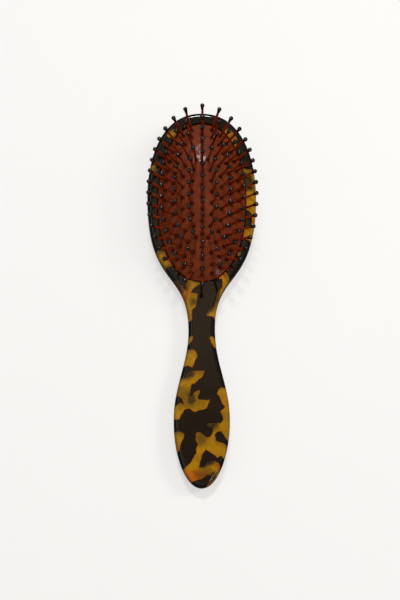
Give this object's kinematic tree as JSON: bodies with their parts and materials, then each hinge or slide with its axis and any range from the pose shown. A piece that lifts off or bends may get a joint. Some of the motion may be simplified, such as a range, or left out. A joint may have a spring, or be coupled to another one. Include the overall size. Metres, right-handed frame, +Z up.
{
  "type": "vanity hairbrush",
  "caption": "Oval cushion hairbrush: slab body with a narrow neck, domed air-cushion pad and fanned ball-tipped pins.",
  "frame": {"origin": "middle of the body's length and width, on the flat back the brush lies on", "axes": "+Z up through the pins, +Y from the handle's end to the top of the head, +X to the right with the pins facing the viewer"},
  "size_m": [0.063, 0.216, 0.0384],
  "materials": {
    "acetate": "polished tortoiseshell acetate, dark brown patches in translucent amber",
    "rubber": "satin terracotta rubber membrane",
    "pin": "translucent dark red-brown nylon",
    "ball_tip": "glossy black resin"
  },
  "bodies": {
    "handle": {"brush_body": "acetate", "cushion_pad": "rubber"},
    "crown_pins": {"pins_zone_1_left": "pin", "pins_zone_1_right": "pin", "tips_zone_1_left": "ball_tip", "tips_zone_1_right": "ball_tip"},
    "zone_2_pins": {"pins_zone_2_left": "pin", "pins_zone_2_right": "pin", "tips_zone_2_left": "ball_tip", "tips_zone_2_right": "ball_tip"},
    "zone_3_pins": {"pins_zone_3_left": "pin", "pins_zone_3_right": "pin", "tips_zone_3_left": "ball_tip", "tips_zone_3_right": "ball_tip"},
    "zone_4_pins": {"pins_zone_4_left": "pin", "pins_zone_4_right": "pin", "tips_zone_4_left": "ball_tip", "tips_zone_4_right": "ball_tip"},
    "zone_5_pins": {"pins_zone_5_left": "pin", "pins_zone_5_right": "pin", "tips_zone_5_left": "ball_tip", "tips_zone_5_right": "ball_tip"},
    "zone_6_pins": {"pins_zone_6_left": "pin", "pins_zone_6_right": "pin", "tips_zone_6_left": "ball_tip", "tips_zone_6_right": "ball_tip"},
    "zone_7_pins": {"pins_zone_7_left": "pin", "pins_zone_7_right": "pin", "tips_zone_7_left": "ball_tip", "tips_zone_7_right": "ball_tip"}
  },
  "joints": [
    {"name": "cushion_press", "type": "slide", "parent": "handle", "child": "crown_pins", "axis": [0, 0, -1], "range_m": [0, 0.0045], "stiffness_N_per_m": 600, "deforming": ["cushion_pad"]},
    {"name": "zone_2_follow", "type": "slide", "parent": "handle", "child": "zone_2_pins", "axis": [0, 0, -1], "range_m": [0, 0.0039]},
    {"name": "zone_3_follow", "type": "slide", "parent": "handle", "child": "zone_3_pins", "axis": [0, 0, -1], "range_m": [0, 0.00319]},
    {"name": "zone_4_follow", "type": "slide", "parent": "handle", "child": "zone_4_pins", "axis": [0, 0, -1], "range_m": [0, 0.00249]},
    {"name": "zone_5_follow", "type": "slide", "parent": "handle", "child": "zone_5_pins", "axis": [0, 0, -1], "range_m": [0, 0.00178]},
    {"name": "zone_6_follow", "type": "slide", "parent": "handle", "child": "zone_6_pins", "axis": [0, 0, -1], "range_m": [0, 0.00108]},
    {"name": "zone_7_follow", "type": "slide", "parent": "handle", "child": "zone_7_pins", "axis": [0, 0, -1], "range_m": [0, 0.00037]}
  ],
  "couplings": [
    {"joint": "zone_2_follow", "follows": "cushion_press", "ratio": 0.862},
    {"joint": "zone_3_follow", "follows": "cushion_press", "ratio": 0.705},
    {"joint": "zone_4_follow", "follows": "cushion_press", "ratio": 0.548},
    {"joint": "zone_5_follow", "follows": "cushion_press", "ratio": 0.392},
    {"joint": "zone_6_follow", "follows": "cushion_press", "ratio": 0.235},
    {"joint": "zone_7_follow", "follows": "cushion_press", "ratio": 0.078}
  ]
}
